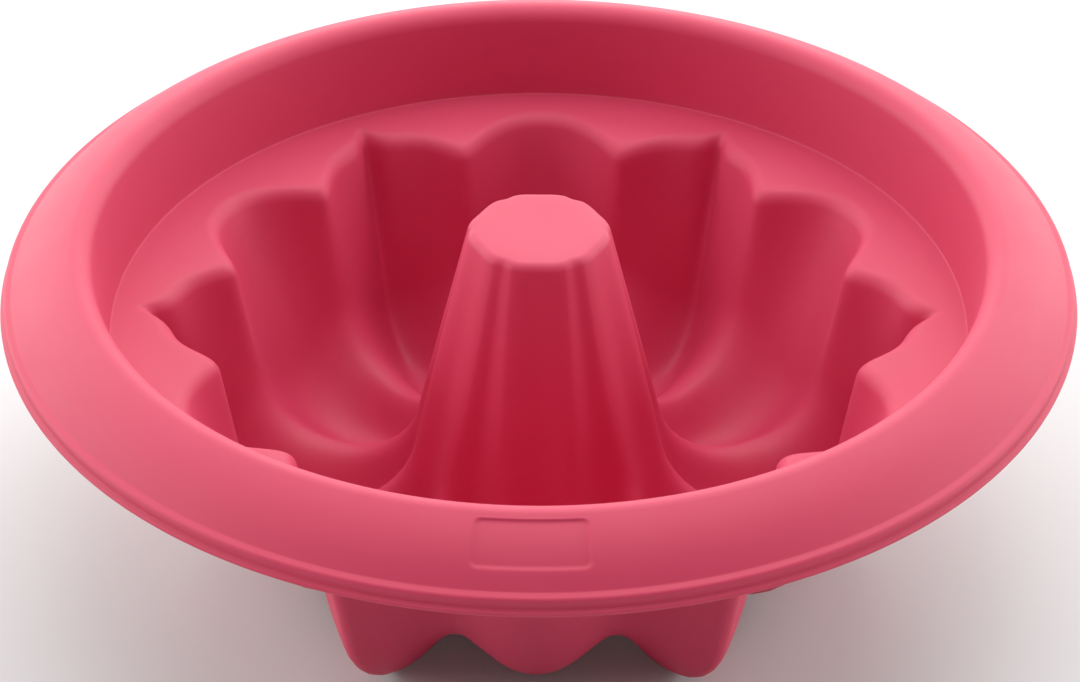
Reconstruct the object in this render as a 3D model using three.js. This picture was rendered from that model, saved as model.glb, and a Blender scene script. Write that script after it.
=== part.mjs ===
// A fluted ring cake mould in silicone: a broad sloping rim, a shelf inside it, flutes that are round and
// pointed by turns, and a tapered chimney in the middle that is closed on top and hollow from below.
// It is one moulding of even thickness, given here as the zones that a maker would name.
// Millimetres, +Z up. The origin is on the axis, on the surface that the mould stands on.
import * as THREE from "three";

// Silicone wall, measured square to the surface, and how far the flutes' feet are pressed flat to stand.
const WALL = 1.7;
const FOOT_FLAT = 0.9;

// Rim. The hem is a lip round its lower edge, with a bead under a waist. The crest is the rim's rounded top,
// one rim width inside the hem, and the wall inside the crest leans in as it goes down to the shelf.
const RIM_RADIUS = 125;
const RIM_WIDTH = 17.7;
const RIM_LEAN = 6.5;
const RIM_HEIGHT = 85.7;
const HEM_LEVEL = 72.1;
const HEM_HEIGHT = 4.5;
const HEM_STEP = 1.95;
const HEM_TAPER = 0.85;
const HEM_CHAMFER = 0.9;
const HEM_THICKNESS = 4;
const WAIST_INSET = 1.05;
const WAIST_RISE = 1.4;
const BEAD_HEIGHT = 0.95;
const FACE_BULGE = 2.3;
const FACE_ROUND = 32;
const CREST_UNDER_ROUND = 1.5;

// Shelf inside the rim. It falls a little towards the flutes.
const SHELF_LEVEL = 62.3;
const SHELF_FALL = 0.045;
const SHELF_CORNER = 5;
const EDGE_UNDER_ROUND = 2.3;

// Flutes. Each inset is the shelf's width there, and each draft is how far the wall leans in from the shelf
// to its foot. A rib stands between each round flute and a pointed one.
const FLUTE_PAIRS = 6;
const RIB_INSET = 23.8;
const RIB_DRAFT = 6.6;
const RIB_FOOT_LEVEL = 17;
const RIB_END_LEVEL = 9.8;
const RIB_BEND = 20;
const RIB_GROOVE = 3;
const ROUND_INSET = 11.2;
const ROUND_DRAFT = 22.6;
const ROUND_BEND = 30;
const ROUND_FULLNESS = 2.3;
const POINT_INSET = 8.2;
const POINT_DRAFT = 15.1;
const POINT_BEND = 22;
const POINT_NOSE = 2.6;
const POINT_FULLNESS = 0.5;
const POINT_HOLLOW = 3;
const POINT_SHOULDER = 4;

// Chimney. Its ridges run on from the ribs, and spread a little towards the pointed flutes on their way up.
// Between them its side is flat or grooved, less so at the top.
const CHIMNEY_HEIGHT = 84.7;
const CHIMNEY_TOP_RADIUS = 16.6;
const CHIMNEY_FOOT_RADIUS = 37.1;
const CHIMNEY_FLAT = 2;
const CHIMNEY_GROOVE = 2.6;
const CHIMNEY_TOP_FLAT = 0.45;
const CHIMNEY_TOP_GROOVE = 0.9;
const CHIMNEY_FOOT_ROUND = 14;
const CHIMNEY_TOP_UNDER_ROUND = 1.3;
const RIDGE_SPREAD = THREE.MathUtils.degToRad(5.5);

// Facets: stops from a rib (0) to the middle of its flute (1), of which the rim and the chimney have every
// other one, and the steps of each rounding. Slopes round the mould are measured over a small step.
const HALF_FLUTE_STOPS = [0, 0.13, 1 / 3, 0.5, 2 / 3, 0.84, 1];
const COARSE_STOPS = 2;
const ROUNDING_STEPS = { face: 2, crest: 4, shelf: 2, edge: 2, bend: 5, chimneyFoot: 3, chimneyTop: 2 };
const SLOPE_STEP = THREE.MathUtils.degToRad(0.1);

const PITCH = Math.PI / FLUTE_PAIRS;
const HALF_PITCH = PITCH / 2;
const FLUTES = 2 * FLUTE_PAIRS;
const FLUTE_COLUMNS = 2 * (HALF_FLUTE_STOPS.length - 1);
const CREST_RADIUS = RIM_RADIUS - RIM_WIDTH;
const SHELF_RADIUS = CREST_RADIUS - RIM_LEAN;
const RIB_RADIUS = SHELF_RADIUS - RIB_INSET;
const ROUND_RADIUS = SHELF_RADIUS - ROUND_INSET;
const POINT_RADIUS = SHELF_RADIUS - POINT_INSET;
const FLOOR_LEVEL = WALL - FOOT_FLAT;
const CAP_ROUND = WALL + CHIMNEY_TOP_UNDER_ROUND;
const lerp = THREE.MathUtils.lerp;

const silicone = () => new THREE.MeshStandardMaterial({ color: 0xc9304f, roughness: 0.55, metalness: 0 });

// Runs from 0 to 1 with v, leaving 0 along a rounded start of the given width.
function softStart(v, width) {
  return (Math.hypot(v, width) - width) / (Math.hypot(1, width) - width);
}

// Where an azimuth lies: its flute, whether that is a pointed one, and the way from rib (0) to middle (1).
function placeInFlute(azimuth) {
  const flute = Math.round(azimuth / PITCH);
  const offset = azimuth - flute * PITCH;
  return { flute, offset, pointed: flute % 2 !== 0, way: Math.max(0, 1 - Math.abs(offset) / HALF_PITCH) };
}

// How far a flute stands out at a place in it, from 0 on the rib to 1 in the middle. A round flute is a full
// arch all the way down. A pointed one is an ogee at the shelf, which has softened to a wave at the foot.
function fluteArch({ pointed, way }) {
  const fromRib = softStart(way, (WALL + RIB_GROOVE) / (RIB_RADIUS * HALF_PITCH));
  const arch = 1 - (1 - fromRib) ** ROUND_FULLNESS;
  if (!pointed) return { top: arch, low: arch };
  const fromTip = softStart(1 - fromRib, POINT_NOSE / (POINT_RADIUS * HALF_PITCH));
  const ogee = lerp((1 - fromTip) ** POINT_HOLLOW, 1 - fromTip ** POINT_SHOULDER, POINT_FULLNESS);
  return { top: ogee, low: THREE.MathUtils.smoothstep(fromRib, 0, 1) };
}

// Azimuth on the chimney, where the ridges spread towards the pointed flutes.
function spreadAzimuth({ flute, offset, pointed }) {
  return flute * PITCH + offset * (1 + (pointed ? -1 : 1) * (RIDGE_SPREAD / HALF_PITCH));
}

// Height of the shelf's cone at a radius.
const shelfAt = (radius) => SHELF_LEVEL - (SHELF_RADIUS - radius) * SHELF_FALL;

// Radius of the chimney's ridges at a height.
const chimneyAt = (z) =>
  lerp(CHIMNEY_FOOT_RADIUS, CHIMNEY_TOP_RADIUS, (z - FLOOR_LEVEL) / (CHIMNEY_HEIGHT - FLOOR_LEVEL));

const corner = (r, z, round = 0, steps = 0) => ({ at: new THREE.Vector2(r, z), round, steps });

// Direction from a point along the tangent of a circle, on the left of its centre (side 1) or the right (-1).
function tangentFrom(point, centre, radius, side) {
  const reach = centre.clone().sub(point);
  const angle = side * Math.asin(radius / reach.length());
  return reach.normalize().rotateAround(new THREE.Vector2(), angle);
}

// Corner where the lines from two points meet over a circle that both touch: the crest before it is rounded.
function cornerOver(centre, radius, outside, inside) {
  const up = tangentFrom(outside, centre, radius, -1);
  const down = tangentFrom(inside, centre, radius, 1);
  const apart = inside.clone().sub(outside);
  return outside.clone().addScaledVector(up, apart.cross(down) / up.cross(down));
}

// The rim's corners. Its face leaves the hem one step inside it, and swells on its way to the crest.
const HEM_TOP = HEM_LEVEL + HEM_HEIGHT;
const FACE_FOOT = corner(RIM_RADIUS - HEM_TAPER - HEM_STEP, HEM_TOP);
const SHELF = corner(SHELF_RADIUS, SHELF_LEVEL, SHELF_CORNER, ROUNDING_STEPS.shelf);
const CREST_ROUND = WALL + CREST_UNDER_ROUND;
const CREST_CENTRE = new THREE.Vector2(CREST_RADIUS, RIM_HEIGHT - CREST_ROUND);
const FACE_LINE = tangentFrom(FACE_FOOT.at, CREST_CENTRE, CREST_ROUND, -1);
const FACE_REACH = CREST_CENTRE.clone().sub(FACE_FOOT.at).dot(FACE_LINE);
const FACE_MIDDLE = { at: FACE_FOOT.at.clone(), round: FACE_ROUND, steps: ROUNDING_STEPS.face };
FACE_MIDDLE.at.addScaledVector(FACE_LINE, FACE_REACH / 2);
FACE_MIDDLE.at.add(new THREE.Vector2(FACE_LINE.y, -FACE_LINE.x).multiplyScalar(FACE_BULGE));
const CREST = {
  at: cornerOver(CREST_CENTRE, CREST_ROUND, FACE_MIDDLE.at, SHELF.at),
  round: CREST_ROUND,
  steps: ROUNDING_STEPS.crest,
};

// Corners of the upper surface at an azimuth, from the foot of the rim's face in to the axis.
function meridian(azimuth) {
  const place = placeInFlute(azimuth);
  const { top, low } = fluteArch(place);
  const edge = lerp(RIB_RADIUS, place.pointed ? POINT_RADIUS : ROUND_RADIUS, top);
  const foot = lerp(
    RIB_RADIUS - RIB_DRAFT,
    place.pointed ? POINT_RADIUS - POINT_DRAFT : ROUND_RADIUS - ROUND_DRAFT,
    low,
  );
  const bend = lerp(RIB_BEND, place.pointed ? POINT_BEND : ROUND_BEND, low);
  const floor = lerp(RIB_END_LEVEL, FLOOR_LEVEL, low);
  const hollow = Math.sin((place.way * Math.PI) / 2) ** 2;
  const footHollow = hollow * (place.pointed ? CHIMNEY_GROOVE : CHIMNEY_FLAT);
  const topHollow = hollow * (place.pointed ? CHIMNEY_TOP_GROOVE : CHIMNEY_TOP_FLAT);
  return [
    FACE_FOOT,
    FACE_MIDDLE,
    CREST,
    SHELF,
    corner(edge, shelfAt(edge), WALL + EDGE_UNDER_ROUND, ROUNDING_STEPS.edge),
    corner(foot, lerp(RIB_FOOT_LEVEL, FLOOR_LEVEL, low), bend, ROUNDING_STEPS.bend),
    corner(chimneyAt(floor) - footHollow, floor, CHIMNEY_FOOT_ROUND, ROUNDING_STEPS.chimneyFoot),
    corner(CHIMNEY_TOP_RADIUS - topHollow, CHIMNEY_HEIGHT, CAP_ROUND, ROUNDING_STEPS.chimneyTop),
    corner(0, CHIMNEY_HEIGHT),
  ];
}
const [ON_FACE, , ON_CREST, ON_SHELF, ON_EDGE, , ON_CHIMNEY_FOOT, ON_CHIMNEY_TOP] = meridian(0).keys();

// Stations along a run of corners: the first corner, then the points of each rounding, with their directions.
// Roundings that would meet on a short leg between them are both made smaller until they fit.
function stationsOf(corners) {
  const legs = corners.slice(1).map(({ at }, i) => at.clone().sub(corners[i].at));
  const bends = legs.slice(1).map((leg, i) => Math.atan2(legs[i].cross(leg), legs[i].dot(leg)));
  const turns = [0, ...bends, 0];
  const cuts = turns.map((turn, i) => corners[i].round * Math.tan(Math.abs(turn) / 2));
  const fits = legs.map((leg, i) => Math.min(1, leg.length() / (cuts[i] + cuts[i + 1])));
  const stations = [{ on: 0, point: corners[0].at.clone(), along: legs[0].clone().normalize() }];
  for (let i = 1; i < legs.length; i++) {
    const { at, round, steps } = corners[i];
    const fit = Math.min(fits[i - 1], fits[i]);
    const arrive = legs[i - 1].clone().normalize();
    const start = at.clone().addScaledVector(arrive, -cuts[i] * fit);
    const left = new THREE.Vector2(-arrive.y, arrive.x);
    const centre = start.clone().addScaledVector(left, round * fit * Math.sign(turns[i]));
    for (let s = 0; s <= steps; s++) {
      const angle = (turns[i] * s) / steps;
      const along = arrive.clone().rotateAround(new THREE.Vector2(), angle);
      stations.push({ on: i, point: start.clone().rotateAround(centre, angle), along });
    }
  }
  return stations;
}

// Places a point of a meridian in space. Azimuth 0 is +Y, and it grows towards +X.
function inSpace({ x: r, y: z }, azimuth) {
  return new THREE.Vector3(r * Math.sin(azimuth), r * Math.cos(azimuth), z);
}

// Stations of the upper surface at an azimuth, in space, each with its own azimuth.
function upperAt(azimuth) {
  const spread = spreadAzimuth(placeInFlute(azimuth));
  return stationsOf(meridian(azimuth)).map(({ on, point, along }) => {
    const turned = on >= ON_CHIMNEY_TOP ? spread : azimuth;
    return { on, turned, along, point: inSpace(point, turned) };
  });
}

// One column of the skin: its stations on the upper surface and, one wall below them, on the under side.
// Where a flute would reach lower than its foot, the skin lies flat.
function columnAt(azimuth) {
  const before = upperAt(azimuth - SLOPE_STEP);
  const after = upperAt(azimuth + SLOPE_STEP);
  return upperAt(azimuth).map(({ on, turned, along, point }, i) => {
    const around = after[i].point.clone().sub(before[i].point);
    const under = around.cross(inSpace(along, turned)).setLength(WALL).add(point);
    if (point.z < WALL) {
      point.z = WALL;
      under.z = 0;
    }
    return { on, upper: point, under };
  });
}

// Azimuths of all columns, flute by flute, from each one's first rib.
const azimuths = [];
for (let flute = 0; flute < FLUTES; flute++) {
  const up = HALF_FLUTE_STOPS.slice(0, -1);
  const down = HALF_FLUTE_STOPS.slice(1).reverse();
  for (const way of up) azimuths.push(flute * PITCH - (1 - way) * HALF_PITCH);
  for (const way of down) azimuths.push(flute * PITCH + (1 - way) * HALF_PITCH);
}
const columns = azimuths.map(columnAt);
const firstOn = (place) => columns[0].findIndex(({ on }) => on === place);
const lastOn = (place) => columns[0].findLastIndex(({ on }) => on === place);

// Triangles between two rows of points that run side by side, with each four-sided gap cut along its shorter
// diagonal. One row may have twice the steps of the other, or be a single point.
function stitch(a, b) {
  const faces = [];
  const steps = Math.max(a.length, b.length) - 1;
  const at = (row, i) => row[Math.floor((i * (row.length - 1)) / steps)];
  for (let i = 0; i < steps; i++) {
    const [a0, a1, b0, b1] = [at(a, i), at(a, i + 1), at(b, i), at(b, i + 1)];
    if (a0 === a1) faces.push(a0, b0, b1);
    else if (b0 === b1) faces.push(a0, b0, a1);
    else if (a0.distanceToSquared(b1) < b0.distanceToSquared(a1)) faces.push(a0, b0, b1, a0, b1, a1);
    else faces.push(a0, b0, a1, b0, b1, a1);
  }
  return faces;
}

// A closed solid from rows of points that follow each other round its section. The rows are rings that end on
// their first point again, or open arcs, whose two ends are then closed by the section's own strips.
function solidOf(rows, open) {
  const faces = rows.flatMap((row, i) => stitch(row, rows[(i + 1) % rows.length]));
  for (let i = 0; open && i < rows.length / 2 - 1; i++) {
    const strip = [rows[i], rows[i + 1], rows.at(-2 - i), rows.at(-1 - i)];
    const [u, v, w, x] = strip.map((row) => row.at(-1));
    const [a, b, c, d] = strip.map((row) => row[0]);
    faces.push(u, v, w, u, w, x, a, c, b, a, d, c);
  }
  const points = [...new Set(faces)];
  const numbers = new Map(points.map((point, i) => [point, i]));
  const geometry = new THREE.BufferGeometry().setFromPoints(points);
  geometry.setIndex(faces.map((point) => numbers.get(point)));
  geometry.computeVertexNormals();
  return geometry;
}

// Rows of the skin from one station to another: in along the upper surface and back along the under side.
function skinRows(from, to, firstColumn = 0, columnCount = columns.length) {
  const row = (station, side) => {
    const fluted = station >= firstOn(ON_EDGE) && station <= firstOn(ON_CHIMNEY_FOOT);
    const every = fluted ? 1 : COARSE_STOPS;
    const points = [];
    for (let c = 0; c <= columnCount; c += every) {
      points.push(columns[(firstColumn + c) % columns.length][station][side]);
    }
    return points;
  };
  const stations = Array.from({ length: to - from + 1 }, (_, i) => from + i);
  return [...stations.map((s) => row(s, "upper")), ...stations.reverse().map((s) => row(s, "under"))];
}

// The hem: a lip round the foot of the rim's face, thicker than the wall.
function hemRows() {
  const face = skinRows(0, 0);
  const outline = [
    [RIM_RADIUS - HEM_THICKNESS, HEM_LEVEL],
    [RIM_RADIUS, HEM_LEVEL],
    [RIM_RADIUS, HEM_LEVEL + BEAD_HEIGHT],
    [RIM_RADIUS - WAIST_INSET, HEM_LEVEL + WAIST_RISE],
    [RIM_RADIUS - HEM_TAPER, HEM_TOP - HEM_CHAMFER],
  ];
  const lip = outline.map(([r, z]) => {
    const ring = [];
    for (let c = 0; c < columns.length; c += COARSE_STOPS) ring.push(inSpace({ x: r, y: z }, azimuths[c]));
    return [...ring, ring[0]];
  });
  return [...lip, ...face];
}

// The chimney's closed top: its rounded edge, and a flat disc above and below.
function capRows() {
  const rows = skinRows(firstOn(ON_CHIMNEY_TOP), lastOn(ON_CHIMNEY_TOP));
  const middle = [CHIMNEY_HEIGHT, CHIMNEY_HEIGHT - WALL].map((z) => [new THREE.Vector3(0, 0, z)]);
  return [...rows.slice(0, rows.length / 2), ...middle, ...rows.slice(rows.length / 2)];
}

const mould = new THREE.Group();
mould.name = "ring_mould";

function addZone(name, rows, open = false) {
  const zone = new THREE.Mesh(solidOf(rows, open), silicone());
  zone.name = name;
  mould.add(zone);
}

addZone("rim_hem", hemRows());
addZone("rim_face", skinRows(firstOn(ON_FACE), firstOn(ON_CREST)));
addZone("rim_crest", skinRows(firstOn(ON_CREST), lastOn(ON_CREST)));
addZone("rim_wall", skinRows(lastOn(ON_CREST), firstOn(ON_SHELF)));
addZone("shelf", skinRows(firstOn(ON_SHELF), firstOn(ON_EDGE)));
for (let flute = 0; flute < FLUTES; flute++) {
  const kind = flute % 2 === 0 ? "round" : "pointed";
  const number = Math.floor(flute / 2) + 1;
  const rows = skinRows(firstOn(ON_EDGE), firstOn(ON_CHIMNEY_FOOT), flute * FLUTE_COLUMNS, FLUTE_COLUMNS);
  addZone(`${kind}_flute_${number}`, rows, true);
}
addZone("chimney_foot", skinRows(firstOn(ON_CHIMNEY_FOOT), lastOn(ON_CHIMNEY_FOOT)));
addZone("chimney_wall", skinRows(lastOn(ON_CHIMNEY_FOOT), firstOn(ON_CHIMNEY_TOP)));
addZone("chimney_cap", capRows());

export default mould;
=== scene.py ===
"""Looks of a fluted silicone ring mould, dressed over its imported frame.

The mould is one seamless skin of even thickness, with a hem round its rim and a bare plate pressed into the
rim's front. Metres, +Z up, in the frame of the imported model.
"""

import logging
import math
from dataclasses import dataclass
from enum import Enum

import bpy
from mathutils import Matrix, Vector


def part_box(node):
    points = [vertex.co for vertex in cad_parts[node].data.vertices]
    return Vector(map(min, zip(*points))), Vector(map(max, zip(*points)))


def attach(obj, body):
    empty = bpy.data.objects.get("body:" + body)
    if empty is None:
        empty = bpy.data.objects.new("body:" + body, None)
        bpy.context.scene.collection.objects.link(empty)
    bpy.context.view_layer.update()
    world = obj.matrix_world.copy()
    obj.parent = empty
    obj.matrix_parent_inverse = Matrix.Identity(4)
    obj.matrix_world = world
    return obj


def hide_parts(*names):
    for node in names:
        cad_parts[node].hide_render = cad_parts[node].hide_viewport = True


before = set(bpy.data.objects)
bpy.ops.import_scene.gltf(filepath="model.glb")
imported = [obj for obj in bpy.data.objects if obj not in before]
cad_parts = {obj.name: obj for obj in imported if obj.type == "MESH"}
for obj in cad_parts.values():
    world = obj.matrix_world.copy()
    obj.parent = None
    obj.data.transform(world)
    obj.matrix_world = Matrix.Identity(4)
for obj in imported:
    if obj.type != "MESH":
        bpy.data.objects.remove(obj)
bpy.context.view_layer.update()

MM = 0.001
LOG = logging.getLogger("ring_mould")


def lerp(a: float, b: float, share: float) -> float:
    """Returns the value that lies a share of the way from a to b."""
    return a + (b - a) * share


def smoothstep(v: float) -> float:
    """Returns a rise from 0 to 1 that starts and ends level, with v held to that span."""
    v = min(1.0, max(0.0, v))
    return v * v * (3 - 2 * v)


def soft_start(v: float, width: float) -> float:
    """Runs from 0 to 1 with a rounded start.

    Args:
        v: Way along the run, from 0 to 1.
        width: Width of the rounded start, as a share of the run.

    Returns:
        The height at v.
    """
    return (math.hypot(v, width) - width) / (math.hypot(1, width) - width)


def eased_floor(height: float, blend: float) -> float:
    """Holds a height at 0 or more, with a smooth change to level.

    Args:
        height: The height before it is held.
        blend: Half the span of heights over which the change is spread.

    Returns:
        The height that is kept.
    """
    if abs(height) >= blend:
        return max(height, 0.0)
    return (height + blend) ** 2 / (4 * blend)


class FluteKind(Enum):
    """The two shapes of flute, which take turns round the mould."""

    ROUND = 0
    POINTED = 1


@dataclass(frozen=True)
class Corner:
    """A corner of the mould's section before it is rounded.

    The rounding has arc_steps facets, and the straight run that leaves it has leg_steps.
    """

    r: float
    z: float
    rounding: float = 0.0
    arc_steps: int = 0
    leg_steps: int = 1

    def at(self) -> Vector:
        """Returns the corner as a point of the section."""
        return Vector((self.r, self.z))


@dataclass(frozen=True)
class Station:
    """A point on the section: its corner, its share of the run that leaves it and the direction there."""

    corner: int
    share: float
    point: Vector
    along: Vector


@dataclass(frozen=True)
class Place:
    """Where an azimuth lies among the flutes.

    The offset is the angle from the flute's middle, and the way runs from 0 on a rib to 1 in that middle.
    """

    kind: FluteKind
    offset: float
    way: float


class Section:
    """A run of corners, rounded and cut into stations."""

    def __init__(self, corners: list[Corner]) -> None:
        """Keeps the corners and measures the legs between them.

        Args:
            corners: The corners in order. The first and the last are not rounded.
        """
        self.corners = corners
        points = [corner.at() for corner in corners]
        self.legs = [b - a for a, b in zip(points, points[1:])]
        bends = [math.atan2(a.x * b.y - a.y * b.x, a.dot(b)) for a, b in zip(self.legs, self.legs[1:])]
        self.turns = [0.0, *bends, 0.0]
        self.cuts = [c.rounding * math.tan(abs(t) / 2) for c, t in zip(corners, self.turns)]

    def fit(self, i: int) -> float:
        """Returns how much of corner i's rounding its two legs have room for, at most 1."""
        legs = range(max(0, i - 1), min(len(self.legs), i + 1))
        room = [self.legs[k].length / max(self.cuts[k] + self.cuts[k + 1], MM * MM) for k in legs]
        return min(1.0, *room)

    def arc(self, i: int) -> list[Station]:
        """Returns the stations on the rounding of corner i.

        Args:
            i: Number of the corner. An end gives its one point.

        Returns:
            The stations from one leg to the next.
        """
        corner = self.corners[i]
        if i in (0, len(self.corners) - 1):
            leg = self.legs[min(i, len(self.legs) - 1)]
            return [Station(i, 0.0, corner.at(), leg.normalized())]
        arrive = self.legs[i - 1].normalized()
        start = corner.at() - arrive * (self.cuts[i] * self.fit(i))
        left = Vector((-arrive.y, arrive.x))
        centre = start + left * math.copysign(corner.rounding * self.fit(i), self.turns[i])
        stations = []
        for step in range(corner.arc_steps + 1):
            turn = Matrix.Rotation(self.turns[i] * step / corner.arc_steps, 2)
            stations.append(Station(i, 0.0, centre + turn @ (start - centre), turn @ arrive))
        return stations

    def stations(self) -> list[Station]:
        """Returns all stations in order: each rounding, and the points on the leg that leaves it."""
        arcs = [self.arc(i) for i in range(len(self.corners))]
        made = []
        for i, (arc, following) in enumerate(zip(arcs, arcs[1:])):
            made += arc
            a, b = arc[-1].point, following[0].point
            for step in range(1, self.corners[i].leg_steps):
                share = step / self.corners[i].leg_steps
                made.append(Station(i, share, a.lerp(b, share), self.legs[i].normalized()))
        return made + arcs[-1]


@dataclass
class Rim:
    """The rim: a hem with a ledge and a bead, a sloping face, a round crest, an inner wall and a shelf."""

    radius: float
    hem_level: float
    hem_top: float
    height: float
    wall: float
    width: float = 17.7 * MM
    lean: float = 6.5 * MM
    hem_thickness: float = 4.0 * MM
    groove_inset: float = 2.75 * MM
    groove_dip: float = 0.2 * MM
    groove_round: float = 1.0 * MM
    ledge_inset: float = 0.7 * MM
    ledge_drop: float = 0.55 * MM
    ledge_round: float = 1.0 * MM
    waist_inset: float = 1.05 * MM
    waist_rise: float = 1.4 * MM
    bead_rise: float = 0.95 * MM
    bead_round: float = 0.4 * MM
    face_bulge: float = 2.3 * MM
    face_round: float = 32.0 * MM
    crest_under_round: float = 2.4 * MM
    shelf_level: float = 62.3 * MM
    shelf_fall: float = 0.045
    shelf_corner: float = 0.4 * MM

    @classmethod
    def from_frame(cls, wall: float) -> "Rim":
        """Returns the rim with its outer sizes taken from the frame.

        Args:
            wall: Thickness of the silicone.

        Returns:
            The rim.
        """
        low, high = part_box("rim_hem")
        return cls(high.x, low.z, high.z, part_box("rim_crest")[1].z, wall)

    @property
    def crest_radius(self) -> float:
        """Radius of the circle along the top of the crest."""
        return self.radius - self.width

    @property
    def shelf_radius(self) -> float:
        """Radius of the corner between the rim's wall and the shelf."""
        return self.crest_radius - self.lean

    def shelf_at(self, radius: float) -> float:
        """Returns the height of the shelf's cone at a radius."""
        return self.shelf_level - (self.shelf_radius - radius) * self.shelf_fall

    @staticmethod
    def tangent(point: Vector, centre: Vector, radius: float, side: int) -> Vector:
        """Direction from a point along the tangent of a circle.

        Args:
            point: Where the tangent starts.
            centre: The circle's centre.
            radius: The circle's radius.
            side: 1 to pass on the left of the centre, -1 on the right.

        Returns:
            The direction, of length 1.
        """
        reach = centre - point
        return Matrix.Rotation(side * math.asin(radius / reach.length), 2) @ reach.normalized()

    def face(self) -> list[Corner]:
        """Returns the corners from the groove over the hem, up the face and over the crest to the shelf."""
        foot = Vector((self.radius - self.groove_inset, self.hem_top - self.groove_dip))
        shelf = Vector((self.shelf_radius, self.shelf_level))
        rounding = self.wall + self.crest_under_round
        centre = Vector((self.crest_radius, self.height - rounding))
        line = self.tangent(foot, centre, rounding, -1)
        middle = foot + line * ((centre - foot).dot(line) / 2) + Vector((line.y, -line.x)) * self.face_bulge
        up = self.tangent(middle, centre, rounding, -1)
        down = self.tangent(shelf, centre, rounding, 1)
        apart = shelf - middle
        crest = middle + up * ((apart.x * down.y - apart.y * down.x) / (up.x * down.y - up.y * down.x))
        return [
            Corner(foot.x, foot.y, self.groove_round, arc_steps=4, leg_steps=6),
            Corner(middle.x, middle.y, self.face_round, arc_steps=6, leg_steps=6),
            Corner(crest.x, crest.y, rounding, arc_steps=10, leg_steps=8),
            Corner(shelf.x, shelf.y, self.shelf_corner, arc_steps=6, leg_steps=7),
        ]

    def hem(self) -> list[Corner]:
        """Returns the corners round the hem, from under the face's foot out and up to the ledge."""
        groove, middle = self.face()[:2]
        line = (middle.at() - groove.at()).normalized()
        under = groove.at() + Vector((-line.y, line.x)) * self.wall
        inside, waist = self.radius - self.hem_thickness, self.radius - self.waist_inset
        bead, ledge = self.bead_round, self.ledge_round
        return [
            Corner(under.x, under.y, leg_steps=2),
            Corner(inside, self.hem_level, bead, arc_steps=2, leg_steps=2),
            Corner(self.radius, self.hem_level, bead, arc_steps=3),
            Corner(self.radius, self.hem_level + self.bead_rise, bead, arc_steps=3),
            Corner(waist, self.hem_level + self.waist_rise, bead, arc_steps=3, leg_steps=2),
            Corner(self.radius - self.ledge_inset, self.hem_top - self.ledge_drop, ledge, arc_steps=5),
        ]


@dataclass
class Chimney:
    """The tapered tube in the middle, with a ridge that runs on from each rib and a closed, flat top."""

    height: float
    floor_level: float
    wall: float
    top_radius: float = 16.4 * MM
    foot_radius: float = 37.1 * MM
    flat: float = 2.5 * MM
    groove: float = 2.8 * MM
    top_flat: float = 0.5 * MM
    top_groove: float = 0.4 * MM
    foot_round: float = 20.0 * MM
    top_under_round: float = 0.6 * MM
    ridge_spread: float = math.radians(5.5)

    def radius_at(self, z: float) -> float:
        """Returns the radius of the ridges at a height."""
        share = (z - self.floor_level) / (self.height - self.floor_level)
        return lerp(self.foot_radius, self.top_radius, share)

    def hollows(self, place: Place) -> tuple[float, float]:
        """Returns how far the tube's side lies inside its ridges at a place, at the foot and at the top."""
        pointed = place.kind is FluteKind.POINTED
        depths = (self.groove, self.top_groove) if pointed else (self.flat, self.top_flat)
        share = math.sin(place.way * math.pi / 2) ** 2
        return depths[0] * share, depths[1] * share

    def corners(self, place: Place, floor: float) -> list[Corner]:
        """Corners of the tube's section.

        Args:
            place: Where the section is.
            floor: Height of the trough's floor there.

        Returns:
            The corners from the foot to the axis.
        """
        foot, top = self.hollows(place)
        rounding = self.wall + self.top_under_round
        return [
            Corner(self.radius_at(floor) - foot, floor, self.foot_round, arc_steps=8, leg_steps=24),
            Corner(self.top_radius - top, self.height, rounding, arc_steps=8, leg_steps=5),
            Corner(0.0, self.height),
        ]


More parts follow.
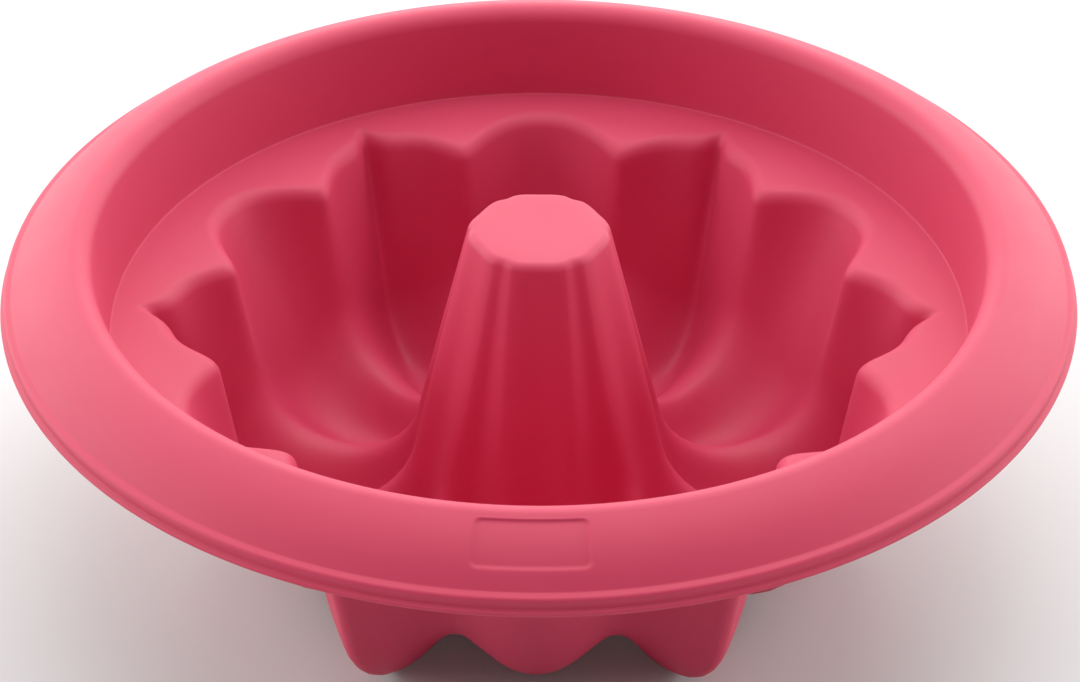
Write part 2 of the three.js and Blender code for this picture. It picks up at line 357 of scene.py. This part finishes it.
@dataclass
class Flutes:
    """The flutes, round and pointed by turns, with a rib between each two."""

    rim: Rim
    wall: float
    floor_level: float
    pairs: int = 6
    edge_under_round: float = 3.0 * MM
    rib_inset: float = 23.8 * MM
    rib_draft: float = 6.6 * MM
    rib_foot_level: float = 16.0 * MM
    rib_end_level: float = 8.3 * MM
    rib_bend: float = 20.0 * MM
    rib_groove: float = 3.0 * MM
    rib_foot_groove: float = 5.5 * MM
    round_inset: float = 11.2 * MM
    round_draft: float = 22.6 * MM
    round_bend: float = 30.0 * MM
    round_end_level: float = 2.2 * MM
    round_fullness: float = 2.3
    point_inset: float = 8.2 * MM
    point_draft: float = 15.1 * MM
    point_bend: float = 22.0 * MM
    point_nose: float = 1.6 * MM
    point_fullness: float = 0.64
    point_hollow: int = 8
    point_shoulder: int = 3

    @property
    def pitch(self) -> float:
        """Angle from the middle of a flute to the next one's."""
        return math.pi / self.pairs

    def place(self, azimuth: float) -> Place:
        """Returns where an azimuth lies among the flutes."""
        flute = round(azimuth / self.pitch)
        offset = azimuth - flute * self.pitch
        way = max(0.0, 1 - abs(offset) / (self.pitch / 2))
        return Place(FluteKind(flute % 2), offset, way)

    def arches(self, place: Place) -> tuple[float, float]:
        """How far a flute stands out, from 0 on the rib to 1 in the middle.

        Args:
            place: Where to measure.

        Returns:
            The share at the shelf and the share at the foot.
        """
        half = self.pitch / 2
        rib_arc = (self.rim.shelf_radius - self.rib_inset) * half
        from_rib = soft_start(place.way, (self.wall + self.rib_groove) / rib_arc)
        from_foot = soft_start(place.way, (self.wall + self.rib_foot_groove) / rib_arc)
        if place.kind is FluteKind.ROUND:
            return 1 - (1 - from_rib) ** self.round_fullness, 1 - (1 - from_foot) ** self.round_fullness
        point_radius = self.rim.shelf_radius - self.point_inset
        from_tip = soft_start(1 - from_rib, self.point_nose / (point_radius * half))
        hollow = (1 - from_tip) ** self.point_hollow
        ogee = lerp(hollow, 1 - from_tip**self.point_shoulder, self.point_fullness)
        return ogee, smoothstep(from_foot)

    def floor(self, place: Place) -> float:
        """Returns the height of the trough's floor at the chimney."""
        end_level = self.floor_level if place.kind is FluteKind.POINTED else self.round_end_level
        return lerp(self.rib_end_level, end_level, math.sin(place.way * math.pi / 2) ** 2)

    def corners(self, place: Place) -> list[Corner]:
        """Corners of a flute's section.

        Args:
            place: Where the section is.

        Returns:
            The corner at the shelf's edge and the one at the foot of the wall.
        """
        inset, draft, bend = self.round_inset, self.round_draft, self.round_bend
        if place.kind is FluteKind.POINTED:
            inset, draft, bend = self.point_inset, self.point_draft, self.point_bend
        top, low = self.arches(place)
        edge = self.rim.shelf_radius - lerp(self.rib_inset, inset, top)
        foot = self.rim.shelf_radius - lerp(self.rib_inset + self.rib_draft, inset + draft, low)
        foot_level = lerp(self.rib_foot_level, self.floor_level, low)
        edge_round, bend = self.wall + self.edge_under_round, lerp(self.rib_bend, bend, low)
        return [
            Corner(edge, self.rim.shelf_at(edge), edge_round, arc_steps=8, leg_steps=14),
            Corner(foot, foot_level, bend, arc_steps=14, leg_steps=3),
        ]


@dataclass(frozen=True)
class SiliconeFinish:
    """Satin crimson silicone with a fine moulded grain."""

    name: str = "satin_silicone"
    tint: tuple[float, float, float] = (0.515, 0.0119, 0.052)
    deep_tint: tuple[float, float, float] = (0.485, 0.0102, 0.0468)
    roughness: tuple[float, float] = (0.59, 0.67)
    specular_level: float = 0.33
    mottle_size: float = 30.0 * MM
    mottle_detail: float = 4.0
    sheen_size: float = 9.0 * MM
    sheen_detail: float = 3.0
    grain_size: float = 0.55 * MM
    grain_detail: float = 2.0
    grain_depth: float = 0.02 * MM
    grain_strength: float = 0.12

    def material(self) -> bpy.types.Material:
        """Returns the procedural material, on Object coordinates."""
        made = bpy.data.materials.new(self.name)
        made.use_nodes = True
        nodes, links = made.node_tree.nodes, made.node_tree.links
        shader = nodes["Principled BSDF"]
        shader.inputs["Specular IOR Level"].default_value = self.specular_level
        where = nodes.new("ShaderNodeTexCoord")

        def noise(size: float, detail: float) -> bpy.types.Node:
            """Returns a noise texture with features of a size."""
            texture = nodes.new("ShaderNodeTexNoise")
            texture.inputs["Scale"].default_value = 1 / size
            texture.inputs["Detail"].default_value = detail
            links.new(where.outputs["Object"], texture.inputs["Vector"])
            return texture

        mottle = nodes.new("ShaderNodeMix")
        mottle.data_type = "RGBA"
        mottle.inputs["A"].default_value = (*self.deep_tint, 1)
        mottle.inputs["B"].default_value = (*self.tint, 1)
        links.new(noise(self.mottle_size, self.mottle_detail).outputs["Fac"], mottle.inputs["Factor"])
        links.new(mottle.outputs["Result"], shader.inputs["Base Color"])
        sheen = nodes.new("ShaderNodeMapRange")
        sheen.inputs["To Min"].default_value, sheen.inputs["To Max"].default_value = self.roughness
        links.new(noise(self.sheen_size, self.sheen_detail).outputs["Fac"], sheen.inputs["Value"])
        links.new(sheen.outputs["Result"], shader.inputs["Roughness"])
        grain = nodes.new("ShaderNodeBump")
        grain.inputs["Strength"].default_value = self.grain_strength
        grain.inputs["Distance"].default_value = self.grain_depth
        links.new(noise(self.grain_size, self.grain_detail).outputs["Fac"], grain.inputs["Height"])
        links.new(grain.outputs["Normal"], shader.inputs["Normal"])
        return made


@dataclass
class BarePlate:
    """A shallow, bare recess with rounded corners on the front of the rim's face."""

    rim: Rim
    width: float = 23.6 * MM
    height: float = 10.4 * MM
    rise: float = 9.9 * MM
    aside: float = -0.45 * MM
    corner: float = 1.4 * MM
    depth: float = 0.45 * MM
    edge: float = 0.8 * MM
    margin: float = 2.0 * MM
    stand_off: float = 3.0 * MM
    least_facing: float = 0.7
    cuts: int = 5

    def __post_init__(self) -> None:
        """Lays the plate's middle and its axes on the rim's face."""
        groove, _, crest = self.rim.face()[:3]
        line = (crest.at() - groove.at()).normalized()
        middle = groove.at() + line * self.rise
        self.middle = Vector((self.aside, -middle.x, middle.y))
        self.up = Vector((0, -line.x, line.y))
        self.out = Vector((0, -line.y, -line.x))

    def distance(self, point: Vector) -> float:
        """Distance of a point from the plate's outline, along the face.

        Args:
            point: A point near the face.

        Returns:
            The distance, negative inside the outline.
        """
        away = point - self.middle
        turn = math.atan2(point.x, -point.y) - math.atan2(self.middle.x, -self.middle.y)
        across = abs(turn * math.hypot(self.middle.x, self.middle.y)) - self.width / 2 + self.corner
        along = abs((math.hypot(point.x, point.y) + self.middle.y) * -self.up.y + away.z * self.up.z)
        along += self.corner - self.height / 2
        outside = math.hypot(max(across, 0), max(along, 0))
        return outside + min(max(across, along), 0) - self.corner

    def near(self, point: Vector, normal: Vector) -> bool:
        """Returns whether a face of the skin, by its middle and normal, belongs to the plate's field."""
        facing = normal.dot(self.out) > self.least_facing
        on_face = abs((point - self.middle).dot(self.out)) < self.stand_off
        return facing and on_face and self.distance(point) < self.margin

    def press(self, skin: bpy.types.Object) -> None:
        """Cuts the faces under the plate finely and presses the recess into them.

        Args:
            skin: The mould's skin, in object mode.
        """
        mesh = skin.data
        for polygon in mesh.polygons:
            polygon.select = self.near(polygon.center, polygon.normal)
        bpy.ops.object.mode_set(mode="EDIT")
        bpy.ops.mesh.select_mode(type="FACE")
        bpy.ops.mesh.subdivide(number_cuts=self.cuts, smoothness=1.0)
        bpy.ops.object.mode_set(mode="OBJECT")
        moved = set()
        for polygon in mesh.polygons:
            if self.near(polygon.center, polygon.normal):
                moved.update(polygon.vertices)
        for index in moved:
            vertex = mesh.vertices[index]
            sunk = smoothstep(0.5 - self.distance(vertex.co) / self.edge)
            vertex.co -= self.out * (self.depth * sunk)


@dataclass
class MouldSkin:
    """The whole moulding as one closed skin of even thickness."""

    wall: float = 1.7 * MM
    foot_flat: float = 0.9 * MM
    floor_blend: float = 2.5 * MM
    half_flute_columns: int = 16
    under_stride: int = 2
    crowding: float = 0.5
    slope_step: float = math.radians(0.1)
    weld: float = 0.002 * MM

    def __post_init__(self) -> None:
        """Sets up the zones of the moulding from the frame."""
        floor_level = self.wall - self.foot_flat
        self.rim = Rim.from_frame(self.wall)
        self.flutes = Flutes(self.rim, self.wall, floor_level)
        self.chimney = Chimney(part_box("chimney_cap")[1].z, floor_level, self.wall)
        self.plate = BarePlate(self.rim)
        self.hem_corners = len(self.rim.hem())

    def section(self, place: Place) -> Section:
        """Returns the section at a place, from under the hem out over the rim and in to the axis."""
        corners = [*self.rim.hem(), *self.rim.face(), *self.flutes.corners(place)]
        return Section(corners + self.chimney.corners(place, self.flutes.floor(place)))

    def spread(self, place: Place) -> float:
        """Returns how far the chimney's top is turned from its foot, which draws its ridges into pairs."""
        turn = self.chimney.ridge_spread / (self.flutes.pitch / 2)
        return place.offset * (-turn if place.kind is FluteKind.POINTED else turn)

    def upper(self, azimuth: float) -> list[tuple[Station, float, Vector]]:
        """The outer stations at an azimuth, in space.

        Args:
            azimuth: Angle from +Y towards +X.

        Returns:
            Each station with its own azimuth and its place.
        """
        place = self.flutes.place(azimuth)
        section = self.section(place)
        top = len(section.corners) - 2
        made = []
        for station in section.stations():
            share = 1.0 if station.corner >= top else station.share if station.corner == top - 1 else 0.0
            turned = azimuth + self.spread(place) * (1 - (1 - share) ** 2)
            made.append((station, turned, self.in_space(station.point, turned)))
        return made

    @staticmethod
    def in_space(point: Vector, azimuth: float) -> Vector:
        """Returns a point or direction of the section, turned to its azimuth."""
        return Vector((point.x * math.sin(azimuth), point.x * math.cos(azimuth), point.y))

    def column(self, azimuth: float) -> list[Vector]:
        """One column of the skin.

        Args:
            azimuth: Where the column stands.

        Returns:
            Its points from the axis out over the upper surface, round the hem and back on the under side.
        """
        before, here, after = (self.upper(azimuth + k * self.slope_step) for k in (-1, 0, 1))
        outer, under = [], []
        for i, (station, turned, point) in enumerate(here):
            skinned = station.corner > self.hem_corners
            around = after[i][2] - before[i][2]
            inner = point + around.cross(self.in_space(station.along, turned)).normalized() * self.wall
            if skinned:
                point.z = self.wall + eased_floor(point.z - self.wall, self.floor_blend)
                inner.z = max(inner.z, 0.0)
            outer.append(point)
            if skinned and (i % self.under_stride == 0 or i == len(here) - 1):
                under.append(inner)
        outer[-1].xy = under[-1].xy = (0, 0)
        under[-1].z = self.chimney.height - self.wall
        return outer[::-1] + under

    def azimuths(self) -> list[float]:
        """Returns the azimuths of one round and one pointed flute, closer together at ribs and middles."""
        steps = self.half_flute_columns
        shares = [k / steps for k in range(steps)]
        ways = [t - self.crowding * math.sin(2 * math.pi * t) / (2 * math.pi) for t in shares]
        half, halves = self.flutes.pitch / 2, 2 * len(FluteKind)
        return [(k - 1 + way) * half for k in range(halves) for way in ways] + [(halves - 1) * half]

    def build(self, finish: SiliconeFinish) -> bpy.types.Object:
        """Models the skin and dresses it.

        Args:
            finish: The silicone's finish.

        Returns:
            The finished piece.
        """
        columns = [self.column(azimuth) for azimuth in self.azimuths()]
        across, along = len(columns) - 1, len(columns[0]) - 1
        bpy.ops.object.select_all(action="DESELECT")
        bpy.ops.mesh.primitive_grid_add(x_subdivisions=across, y_subdivisions=along, size=1)
        skin = bpy.context.object
        skin.name = skin.data.name = "mould_skin"
        for vertex in skin.data.vertices:
            column, row = round((vertex.co.x + 0.5) * across), round((vertex.co.y + 0.5) * along)
            vertex.co = columns[column][row]
        bpy.ops.object.mode_set(mode="EDIT")
        bpy.ops.mesh.select_all(action="SELECT")
        turns = self.flutes.pairs - 1
        angle = turns * 2 * self.flutes.pitch
        bpy.ops.mesh.spin(steps=turns, dupli=True, angle=angle, center=(0, 0, 0), axis=(0, 0, 1))
        bpy.ops.mesh.select_all(action="SELECT")
        bpy.ops.mesh.remove_doubles(threshold=self.weld)
        bpy.ops.mesh.normals_make_consistent(inside=False)
        bpy.ops.mesh.select_all(action="DESELECT")
        bpy.ops.object.mode_set(mode="OBJECT")
        self.plate.press(skin)
        bpy.ops.object.shade_smooth()
        skin.data.materials.append(finish.material())
        return skin


@dataclass(frozen=True)
class SoftPanel:
    """A large, evenly lit square panel of the studio, turned to the mould.

    Its azimuth runs from straight behind the mould towards the right, and both angles are in degrees.
    """

    name: str
    azimuth: float
    elevation: float
    radiance: float
    side: float = 0.9
    reach: float = 1.5
    aim: tuple[float, float, float] = (0.0, 0.0, 0.07)

    def build(self) -> bpy.types.Object:
        """Returns the panel's light."""
        azimuth, elevation = math.radians(self.azimuth), math.radians(self.elevation)
        flat = math.cos(elevation)
        away = Vector((math.sin(azimuth) * flat, math.cos(azimuth) * flat, math.sin(elevation)))
        bpy.ops.object.light_add(type="AREA", location=Vector(self.aim) + away * self.reach)
        panel = bpy.context.object
        panel.name = panel.data.name = self.name
        panel.data.shape = "SQUARE"
        panel.data.size = self.side
        panel.data.energy = self.radiance * math.pi * self.side**2
        panel.rotation_euler = away.to_track_quat("Z", "Y").to_euler()
        panel.visible_camera = False
        return panel


@dataclass
class Studio:
    """The floor, the backdrop, the soft light and the camera."""

    floor_side: float = 2.6
    floor_shade: float = 0.55
    floor_roughness: float = 0.9
    backdrop_shade: float = 1.0
    display_gamma: float = 1.3
    lens: float = 99.81
    sensor: float = 36.0
    camera_at: tuple[float, float, float] = (4.98 * MM, -585.82 * MM, 460.52 * MM)
    camera_tilt: float = math.radians(55.165)
    camera_heading: float = math.radians(0.459)
    camera_roll: float = math.radians(0.1217)
    camera_range: tuple[float, float] = (0.01, 100.0)

    def panels(self) -> list[SoftPanel]:
        """Returns the soft panels: a low ring round the mould, and higher ones over it."""
        return [
            SoftPanel("back_low", 0, 12, 3.2),
            SoftPanel("left_back_low", -45, 12, 5.6),
            SoftPanel("right_back_low", 45, 12, 5.2),
            SoftPanel("left_low", -90, 12, 5.0),
            SoftPanel("right_low", 90, 12, 4.8),
            SoftPanel("back", 0, 36, 3.0),
            SoftPanel("left_back", -45, 36, 1.2),
            SoftPanel("right_back", 45, 36, 1.8),
            SoftPanel("left", -90, 36, 1.9),
            SoftPanel("back_high", 0, 60, 0.9),
            SoftPanel("left_back_high", -45, 60, 1.4),
            SoftPanel("right_back_high", 45, 60, 2.9),
            SoftPanel("right_high", 90, 60, 0.4),
            SoftPanel("front_low", 180, 12, 0.8),
            SoftPanel("front_high", 180, 60, 0.8),
            SoftPanel("overhead", 0, 90, 2.7),
        ]

    def floor(self) -> bpy.types.Object:
        """Returns the plain pale floor."""
        bpy.ops.mesh.primitive_plane_add(size=self.floor_side)
        made = bpy.context.object
        made.name = "floor"
        pale = bpy.data.materials.new("pale_floor")
        pale.use_nodes = True
        shader = pale.node_tree.nodes["Principled BSDF"]
        shader.inputs["Base Color"].default_value = (*[self.floor_shade] * 3, 1)
        shader.inputs["Roughness"].default_value = self.floor_roughness
        made.data.materials.append(pale)
        return made

    def backdrop(self) -> None:
        """Sets a plain pale backdrop that is seen beyond the floor and sheds no light."""
        world = bpy.data.worlds.new("pale_backdrop")
        world.use_nodes = True
        nodes, links = world.node_tree.nodes, world.node_tree.links
        nodes["Background"].inputs["Color"].default_value = (*[self.backdrop_shade] * 3, 1)
        seen = nodes.new("ShaderNodeLightPath").outputs["Is Camera Ray"]
        links.new(seen, nodes["Background"].inputs["Strength"])
        bpy.context.scene.world = world

    def camera(self) -> bpy.types.Object:
        """Returns the camera, set as the scene's own."""
        bpy.ops.object.camera_add()
        made = bpy.context.object
        made.data.lens, made.data.sensor_width = self.lens, self.sensor
        turn = Matrix.Rotation(self.camera_heading, 4, "Z") @ Matrix.Rotation(self.camera_tilt, 4, "X")
        roll = Matrix.Rotation(self.camera_roll, 4, "Z")
        made.matrix_world = Matrix.Translation(self.camera_at) @ turn @ roll
        made.data.clip_start, made.data.clip_end = self.camera_range
        bpy.context.scene.camera = made
        return made

    def build(self) -> None:
        """Sets up the floor, the backdrop, the light, the camera and the plain colour view."""
        self.floor()
        for panel in self.panels():
            panel.build()
        self.backdrop()
        bpy.context.scene.view_settings.view_transform = "Standard"
        bpy.context.scene.view_settings.gamma = self.display_gamma
        self.camera()


def main() -> None:
    """Builds the mould and the studio."""
    logging.basicConfig(level=logging.INFO)
    skin = MouldSkin().build(SiliconeFinish())
    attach(skin, "root")
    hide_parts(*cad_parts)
    LOG.info("%s: %d faces", skin.name, len(skin.data.polygons))
    Studio().build()


if __name__ == "__main__":
    main()
